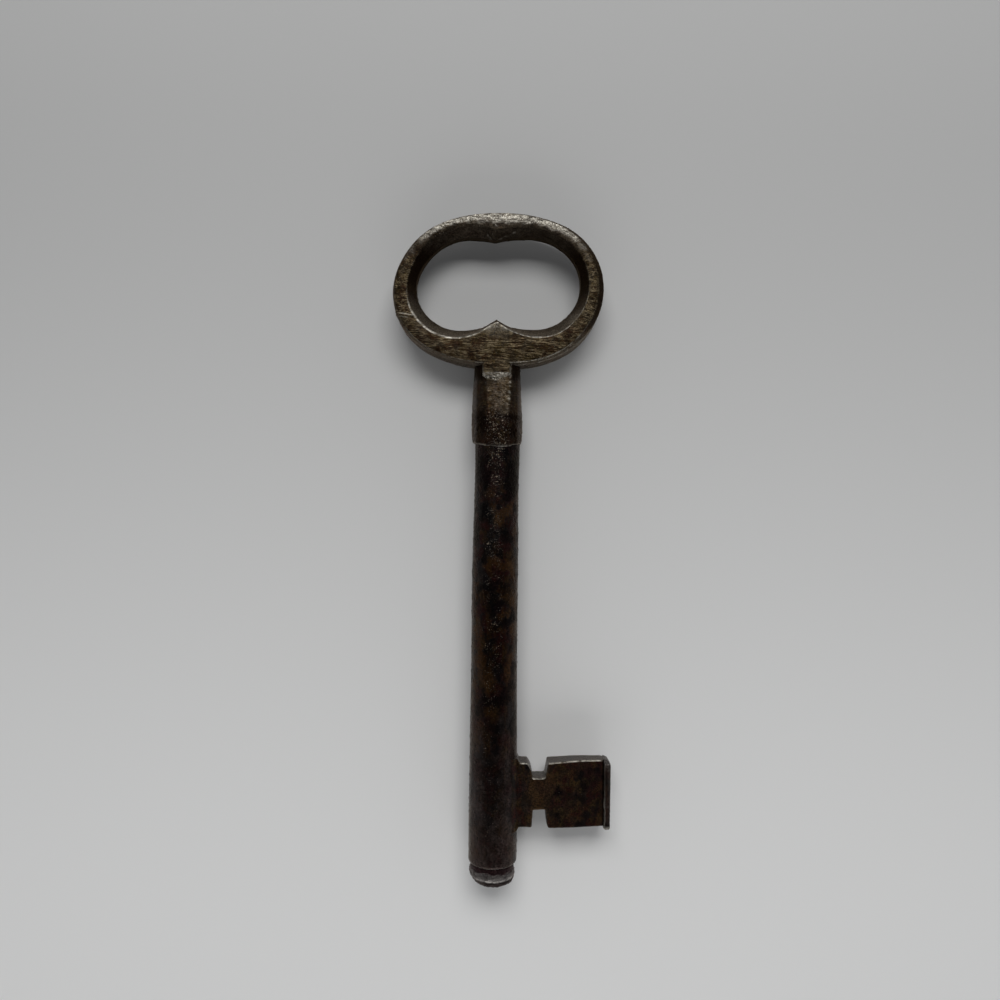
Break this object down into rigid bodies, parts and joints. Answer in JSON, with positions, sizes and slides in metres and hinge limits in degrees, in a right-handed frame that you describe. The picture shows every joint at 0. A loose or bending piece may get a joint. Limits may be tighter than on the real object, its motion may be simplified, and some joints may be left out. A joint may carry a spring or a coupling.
{
  "type": "skeleton key",
  "caption": "Old forged iron door key with a flat oval ring to turn it, a faceted neck, a round solid shank, a notched bit and a rounded tip.",
  "frame": {"origin": "on the shank's axis, at the lower end of its full-diameter cylinder, above the small end bevel", "axes": "+Y along the shank from the tip towards the ring, +X from the shank towards the bit's rib, +Z through the key's thickness, out of the face that has the tab"},
  "size_m": [0.0479, 0.1434, 0.0108],
  "materials": {
    "worn_iron": "olive-brown forged iron, worn by the hand, with fine file marks and bright edges",
    "dark_iron": "dark brown to black forged iron, pitted towards the neck and smoother towards the bit",
    "brown_iron": "dark red-brown forged iron with a dull sheen",
    "pale_iron": "grey iron, worn paler on the nose ring"
  },
  "bodies": {
    "root": {"bow": "worn_iron", "neck": "worn_iron", "shank": "dark_iron", "bit": "brown_iron", "bit_rib": "brown_iron", "tip": "pale_iron"}
  },
  "joints": []
}
